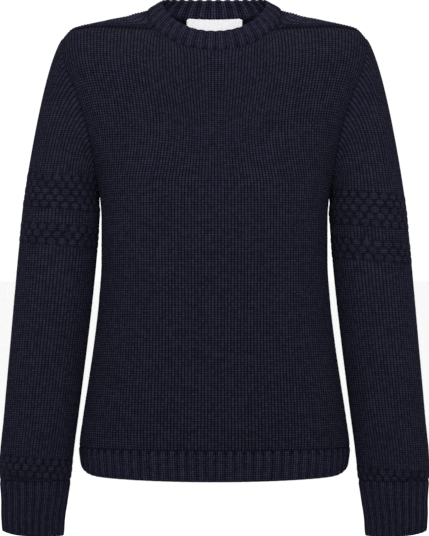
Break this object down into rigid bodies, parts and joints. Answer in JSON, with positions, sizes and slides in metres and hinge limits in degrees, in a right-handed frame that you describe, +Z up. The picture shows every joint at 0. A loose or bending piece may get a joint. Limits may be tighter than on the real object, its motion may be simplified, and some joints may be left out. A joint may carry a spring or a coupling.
{
  "type": "sweater",
  "caption": "Crew-neck knit sweater in its worn, hollow form, with set-in sleeves, ribbed collar, cuffs and hem, and raised knit bands on the sleeves.",
  "frame": {"origin": "between the shoulders at the height of the neck opening's sides, where the wearer's shoulders carry the sweater", "axes": "+X to the viewer's right seen from the front, the front faces -Y, +Z up"},
  "size_m": [0.5568, 0.226, 0.6988],
  "materials": {
    "navy_knit": "plain knitted yarn, matt",
    "navy_sleeve_knit": "plain knitted yarn with raised bands, matt",
    "navy_rib": "ribbed knitted yarn, matt",
    "white_label": "woven satin tape, bare"
  },
  "bodies": {
    "root": {"front": "navy_knit", "back": "navy_knit", "hem_rib_front": "navy_rib", "hem_rib_back": "navy_rib", "sleeve_left": "navy_sleeve_knit", "sleeve_right": "navy_sleeve_knit", "cuff_left": "navy_rib", "cuff_right": "navy_rib", "collar": "navy_rib", "neck_label": "white_label"}
  },
  "joints": []
}
